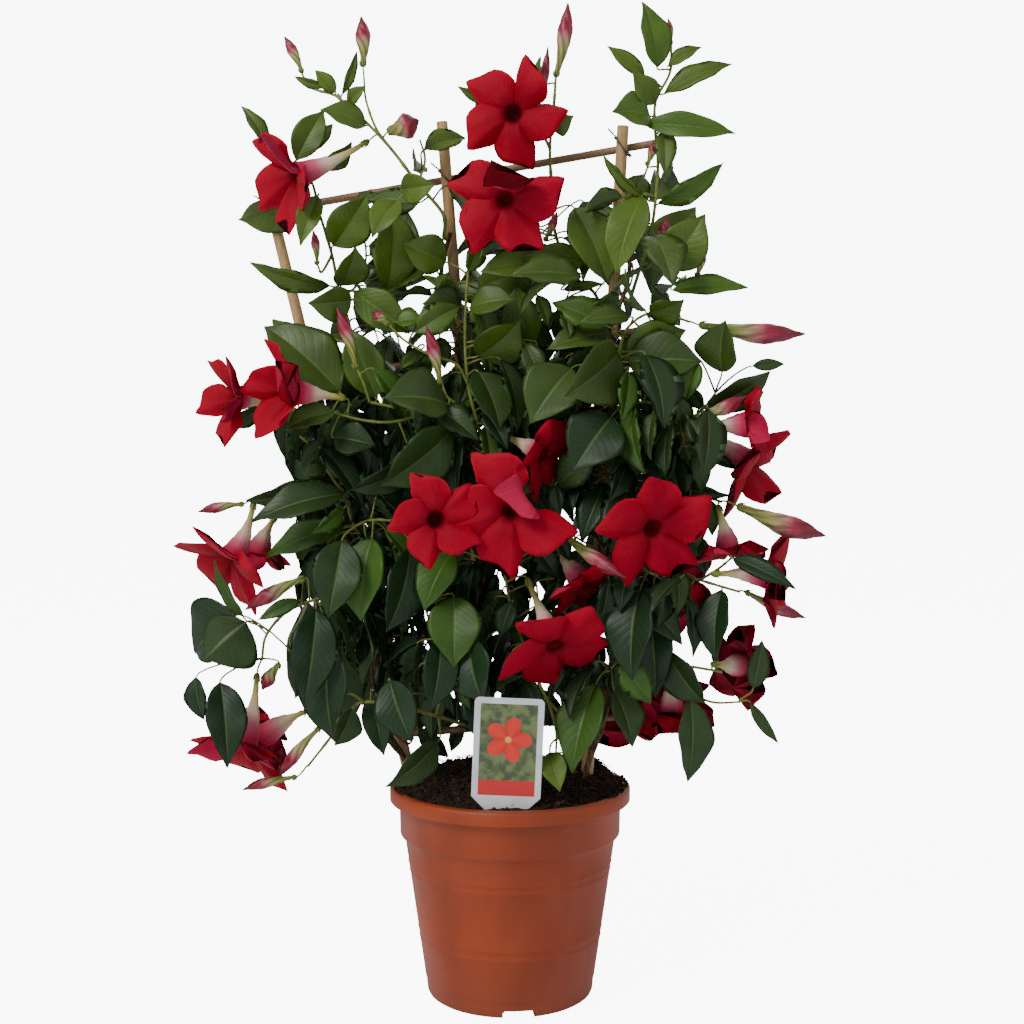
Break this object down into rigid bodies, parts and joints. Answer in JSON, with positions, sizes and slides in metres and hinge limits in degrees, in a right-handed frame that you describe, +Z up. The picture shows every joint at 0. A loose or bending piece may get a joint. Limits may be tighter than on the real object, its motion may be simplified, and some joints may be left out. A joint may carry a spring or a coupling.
{
  "type": "potted mandevilla",
  "caption": "Climbing mandevilla with red trumpet blooms on a tied bamboo trellis, in a round plastic pot of soil with a plain plant label.",
  "frame": {"origin": "centre of the flat underside of the pot", "axes": "+Z up the plant, -Y towards the side that the plant is shown from, +X to its right"},
  "size_m": [0.5344, 0.2739, 0.7922],
  "materials": {
    "clay_plastic": "terracotta coloured moulded plastic, low sheen",
    "peat": "dark fibrous peat, matt",
    "label_plastic": null,
    "bamboo": "dry split-free bamboo, satin",
    "tie_wire": "dark coated wire",
    "vine_bark": "thin brown bark",
    "leaf_green": "glossy dark green above, paler below",
    "petal_red": "velvety deep red, pink-red behind"
  },
  "bodies": {
    "root": {"bloom_back_middle": "petal_red", "bloom_back_right": "petal_red", "bloom_back_top": "petal_red", "bloom_crown": "petal_red", "bloom_crown_left": "petal_red", "bloom_front": "petal_red", "bloom_front_inner": "petal_red", "bloom_front_left": "petal_red", "bloom_front_low": "petal_red", "bloom_front_right": "petal_red", "bloom_front_top": "petal_red", "bloom_left": "petal_red", "bloom_left_behind": "petal_red", "bloom_left_outer": "petal_red", "bloom_left_upper": "petal_red", "bloom_low_left": "petal_red", "bloom_low_left_behind": "petal_red", "bloom_low_right": "petal_red", "bloom_low_right_inner": "petal_red", "bloom_middle_top": "petal_red", "bloom_right": "petal_red", "bloom_right_low": "petal_red", "bloom_right_middle": "petal_red", "bloom_right_upper": "petal_red", "bloom_right_upper_low": "petal_red", "cane_left": "bamboo", "cane_middle": "bamboo", "cane_right": "bamboo", "crossbar_lower": "bamboo", "crossbar_middle": "bamboo", "crossbar_top": "bamboo", "label": "label_plastic", "pot": "clay_plastic", "shoot_crown": "leaf_green", "shoot_crown_left": "leaf_green", "shoot_left": "leaf_green", "shoot_left_low": "leaf_green", "shoot_left_middle": "leaf_green", "shoot_left_top": "leaf_green", "shoot_low": "leaf_green", "shoot_low_right": "leaf_green", "shoot_middle": "leaf_green", "shoot_right": "leaf_green", "shoot_right_low": "leaf_green", "shoot_right_middle": "leaf_green", "shoot_right_top": "leaf_green", "shoot_right_upper": "leaf_green", "soil": "peat", "tie_lower_left": "tie_wire", "tie_lower_middle": "tie_wire", "tie_lower_right": "tie_wire", "tie_middle_left": "tie_wire", "tie_middle_middle": "tie_wire", "tie_middle_right": "tie_wire", "tie_top_left": "tie_wire", "tie_top_middle": "tie_wire", "tie_top_right": "tie_wire", "vine_left": "vine_bark", "vine_middle": "vine_bark", "vine_right": "vine_bark"}
  },
  "joints": []
}
